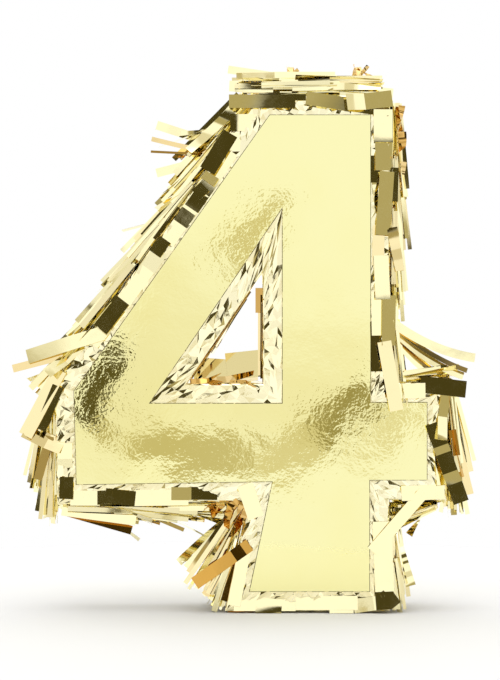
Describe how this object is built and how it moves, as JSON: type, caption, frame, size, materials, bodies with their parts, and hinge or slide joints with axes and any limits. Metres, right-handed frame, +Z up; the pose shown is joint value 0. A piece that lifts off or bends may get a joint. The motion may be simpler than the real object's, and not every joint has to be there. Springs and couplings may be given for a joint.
{
  "type": "number pinata",
  "caption": "Standing numeral-shaped party pinata: a cardboard box with mirror-gold foil card faces, metallised film fringe round every wall, a hanging loop and a hinged fill flap.",
  "frame": {"origin": "on the floor, at the middle of the box's depth, on the underside of the film under the foot's left part", "axes": "+X to the numeral's right-hand side, +Y from the front to the back, +Z up"},
  "size_m": [0.444, 0.0953, 0.5573],
  "materials": {
    "gold_card": "smooth mirror-gold foil laminated on card, with soft ripples and fine speckle",
    "gold_border_foil": "mirror-gold foil, crinkled where it is folded over the box edge",
    "gold_film": "mirror-bright metallised film, creased and curled",
    "cardboard": "raw brown corrugated board",
    "gold_ribbon": "pale gold satin ribbon",
    "sticker": "plain pale round seal"
  },
  "bodies": {
    "box": {"box_front": "cardboard", "box_back": "cardboard", "wall_strip_top_right": "cardboard", "wall_strip_arm": "cardboard", "wall_strip_foot": "cardboard", "wall_strip_crossbar": "cardboard", "wall_strip_diagonal": "cardboard", "wall_strip_hole": "cardboard", "hanger_plate": "cardboard", "numeral_card_front": "gold_card", "numeral_card_back": "gold_card", "border_foil_front": "gold_border_foil", "border_foil_back": "gold_border_foil", "hole_foil_front": "gold_border_foil", "hole_foil_back": "gold_border_foil", "hanging_loop": "gold_ribbon", "loop_knot_left": "gold_ribbon", "loop_knot_right": "gold_ribbon", "fringe_top_1": "gold_film", "fringe_top_2": "gold_film", "fringe_top_3": "gold_film", "fringe_right_1": "gold_film", "fringe_right_2": "gold_film", "fringe_right_3": "gold_film", "fringe_right_4": "gold_film", "fringe_right_5": "gold_film", "fringe_arm_top_1": "gold_film", "fringe_arm_end_1": "gold_film", "fringe_arm_end_2": "gold_film", "fringe_arm_under_1": "gold_film", "fringe_stem_right_1": "gold_film", "fringe_stem_right_2": "gold_film", "fringe_foot_1": "gold_film", "fringe_foot_2": "gold_film", "fringe_stem_left_1": "gold_film", "fringe_stem_left_2": "gold_film", "fringe_crossbar_1": "gold_film", "fringe_crossbar_2": "gold_film", "fringe_crossbar_3": "gold_film", "fringe_left_end_1": "gold_film", "fringe_left_end_2": "gold_film", "fringe_diagonal_1": "gold_film", "fringe_diagonal_2": "gold_film", "fringe_diagonal_3": "gold_film", "fringe_diagonal_4": "gold_film", "fringe_diagonal_5": "gold_film", "fringe_diagonal_6": "gold_film", "fringe_diagonal_7": "gold_film", "fringe_hole_right_1": "gold_film", "fringe_hole_slope_1": "gold_film", "fringe_hole_slope_2": "gold_film", "fringe_hole_bottom_1": "gold_film"},
    "flap": {"fill_flap": "cardboard", "fill_flap_card": "gold_card", "flap_sticker": "sticker"}
  },
  "joints": [
    {"name": "fill_flap_hinge", "type": "hinge", "parent": "box", "child": "flap", "pos_m": [0.077, 0.042, 0.4], "axis": [1, 0, 0], "range_deg": [0, 120]}
  ]
}
